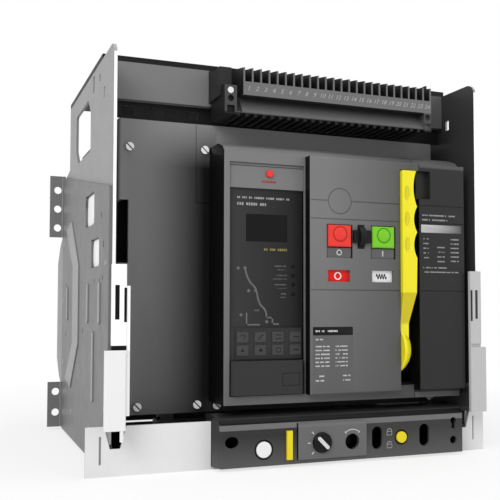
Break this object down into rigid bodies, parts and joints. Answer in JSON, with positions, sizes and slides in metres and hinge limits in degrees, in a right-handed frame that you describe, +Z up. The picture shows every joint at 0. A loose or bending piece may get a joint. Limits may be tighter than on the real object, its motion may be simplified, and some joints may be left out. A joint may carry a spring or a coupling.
{
  "type": "air circuit breaker",
  "caption": "Draw-out low-voltage air circuit breaker in its cradle, with charging handle, push buttons, trip unit, racking panel and finned terminal row.",
  "frame": {"origin": "centre of the base pan's underside, on the surface the cradle stands on", "axes": "+X to the right seen from the front, +Y from the front to the busbars, +Z up"},
  "size_m": [0.47, 0.42, 0.438],
  "materials": {
    "zinc_sheet": "satin",
    "pan_steel": "satin",
    "rail_white": "satin",
    "steel": "satin",
    "cover_grey": "satin",
    "trip_grey": "satin",
    "body_grey": "matte",
    "panel_grey": "satin",
    "black_moulding": "matte",
    "copper": "satin",
    "silver": "satin",
    "yellow_plastic": "gloss",
    "red_plastic": "gloss",
    "green_plastic": "gloss",
    "white_plastic": "gloss",
    "lens": "gloss",
    "nylon": "satin"
  },
  "bodies": {
    "cradle": {"left_side_plate": "zinc_sheet", "right_side_plate": "zinc_sheet", "left_mounting_bracket": "zinc_sheet", "right_mounting_bracket": "zinc_sheet", "base_pan": "pan_steel", "rear_insulating_wall": "black_moulding", "busbar_terminals": "copper", "jaw_contacts": "copper", "arc_shield": "black_moulding", "top_front_panel": "panel_grey", "secondary_terminal_block": "black_moulding", "terminal_screws": "steel", "terminal_block_bracket": "panel_grey", "rail_guides": "steel", "racking_housing": "panel_grey", "racking_guide_plate": "steel", "racking_screw_bearing": "steel"},
    "left_rail": {"left_pull_rail": "steel", "left_rail_end": "rail_white"},
    "right_rail": {"right_pull_rail": "steel", "right_rail_end": "rail_white"},
    "racking_carriage": {"racking_carriage": "steel"},
    "racking_screw": {"racking_screw": "steel"},
    "position_dial": {"position_dial": "black_moulding"},
    "racking_release_button": {"racking_release_button": "white_plastic"},
    "racking_reset_button": {"racking_reset_button": "yellow_plastic"},
    "padlock_tab": {"padlock_tab": "yellow_plastic"},
    "breaker": {"breaker_base": "body_grey", "breaker_frame": "body_grey", "slide_shoes": "nylon", "arc_chutes": "black_moulding", "arc_splitter_plates": "steel", "upper_blades": "copper", "lower_blades": "copper", "fixed_contacts": "silver", "current_transformers": "black_moulding", "contact_pivot_pins": "steel", "main_shaft_bearings": "steel", "face_cover": "cover_grey", "mechanism_cover": "cover_grey", "handle_well": "black_moulding", "mechanism_plates": "steel", "closing_spring": "steel", "release_coils": "copper", "trip_unit": "trip_grey", "trip_display": "lens", "trip_keypad": "trip_grey", "trip_unit_cover": "trip_grey", "body_screws": "steel"},
    "main_shaft": {"main_shaft": "steel"},
    "moving_contacts": {"moving_contacts": "copper", "drive_links": "black_moulding"},
    "charging_handle": {"charging_handle": "yellow_plastic"},
    "charging_shaft": {"charging_shaft": "steel"},
    "open_button": {"open_button": "red_plastic"},
    "close_button": {"close_button": "green_plastic"},
    "trip_reset_button": {"trip_reset_button": "red_plastic"},
    "button_padlock_slide": {"button_padlock_slide": "black_moulding"},
    "status_flag": {"status_flag": "red_plastic"},
    "charge_flag": {"charge_flag": "white_plastic"}
  },
  "joints": [
    {"name": "racking_slide", "type": "slide", "parent": "cradle", "child": "racking_carriage", "axis": [0, -1, 0], "range_m": [0, 0.055]},
    {"name": "racking_screw_turn", "type": "hinge", "parent": "cradle", "child": "racking_screw", "pos_m": [0.0495, 0, 0.023], "axis": [0, 1, 0], "range_deg": [0, 3960]},
    {"name": "position_dial_turn", "type": "hinge", "parent": "cradle", "child": "position_dial", "pos_m": [0.013, -0.2, 0.024], "axis": [0, 1, 0], "range_deg": [0, 90]},
    {"name": "withdraw_slide", "type": "slide", "parent": "racking_carriage", "child": "breaker", "axis": [0, -1, 0], "range_m": [0, 0.22]},
    {"name": "left_rail_slide", "type": "slide", "parent": "cradle", "child": "left_rail", "axis": [0, -1, 0], "range_m": [0, 0.22]},
    {"name": "right_rail_slide", "type": "slide", "parent": "cradle", "child": "right_rail", "axis": [0, -1, 0], "range_m": [0, 0.22]},
    {"name": "racking_release_press", "type": "slide", "parent": "cradle", "child": "racking_release_button", "axis": [0, 1, 0], "range_m": [0, 0.004], "stiffness_N_per_m": 300},
    {"name": "racking_reset_press", "type": "slide", "parent": "cradle", "child": "racking_reset_button", "axis": [0, 1, 0], "range_m": [0, 0.003], "stiffness_N_per_m": 300},
    {"name": "padlock_tab_slide", "type": "slide", "parent": "cradle", "child": "padlock_tab", "axis": [0, -1, 0], "range_m": [0, 0.022]},
    {"name": "main_shaft_turn", "type": "hinge", "parent": "breaker", "child": "main_shaft", "pos_m": [0, -0.082, 0.2], "axis": [1, 0, 0], "range_deg": [-45, 0], "stiffness_Nm_per_rad": 20, "springref_deg": 17.19},
    {"name": "contact_swing", "type": "hinge", "parent": "breaker", "child": "moving_contacts", "pos_m": [0, 0.04, 0.118], "axis": [1, 0, 0], "range_deg": [-18, 0]},
    {"name": "status_flag_slide", "type": "slide", "parent": "breaker", "child": "status_flag", "axis": [0, 0, -1], "range_m": [0, 0.0135]},
    {"name": "charging_handle_pull", "type": "hinge", "parent": "breaker", "child": "charging_handle", "pos_m": [0.121, -0.181, 0.1207], "axis": [1, 0, 0], "range_deg": [0, 75], "stiffness_Nm_per_rad": 1},
    {"name": "charging_shaft_turn", "type": "hinge", "parent": "breaker", "child": "charging_shaft", "pos_m": [0.06, -0.181, 0.1207], "axis": [1, 0, 0], "range_deg": [0, 75]},
    {"name": "charge_flag_slide", "type": "slide", "parent": "breaker", "child": "charge_flag", "axis": [0, 0, -1], "range_m": [0, 0.0135]},
    {"name": "open_button_press", "type": "slide", "parent": "breaker", "child": "open_button", "axis": [0, 1, 0], "range_m": [0, 0.004], "stiffness_N_per_m": 300},
    {"name": "close_button_press", "type": "slide", "parent": "breaker", "child": "close_button", "axis": [0, 1, 0], "range_m": [0, 0.004], "stiffness_N_per_m": 300},
    {"name": "trip_reset_press", "type": "slide", "parent": "breaker", "child": "trip_reset_button", "axis": [0, 1, 0], "range_m": [0, 0.003], "stiffness_N_per_m": 300},
    {"name": "button_padlock_pull", "type": "slide", "parent": "breaker", "child": "button_padlock_slide", "axis": [0, -1, 0], "range_m": [0, 0.012]}
  ],
  "couplings": [
    {"joint": "racking_screw_turn", "follows": "racking_slide", "rad_per_m": 1256.6},
    {"joint": "position_dial_turn", "follows": "racking_slide", "rad_per_m": 28.559},
    {"joint": "left_rail_slide", "follows": "withdraw_slide", "ratio": 1},
    {"joint": "right_rail_slide", "follows": "withdraw_slide", "ratio": 1},
    {"joint": "contact_swing", "follows": "main_shaft_turn", "ratio": 0.4},
    {"joint": "status_flag_slide", "follows": "main_shaft_turn", "m_per_rad": -0.017188},
    {"joint": "charging_shaft_turn", "follows": "charging_handle_pull", "ratio": 1},
    {"joint": "charge_flag_slide", "follows": "charging_handle_pull", "m_per_rad": 0.010313}
  ]
}
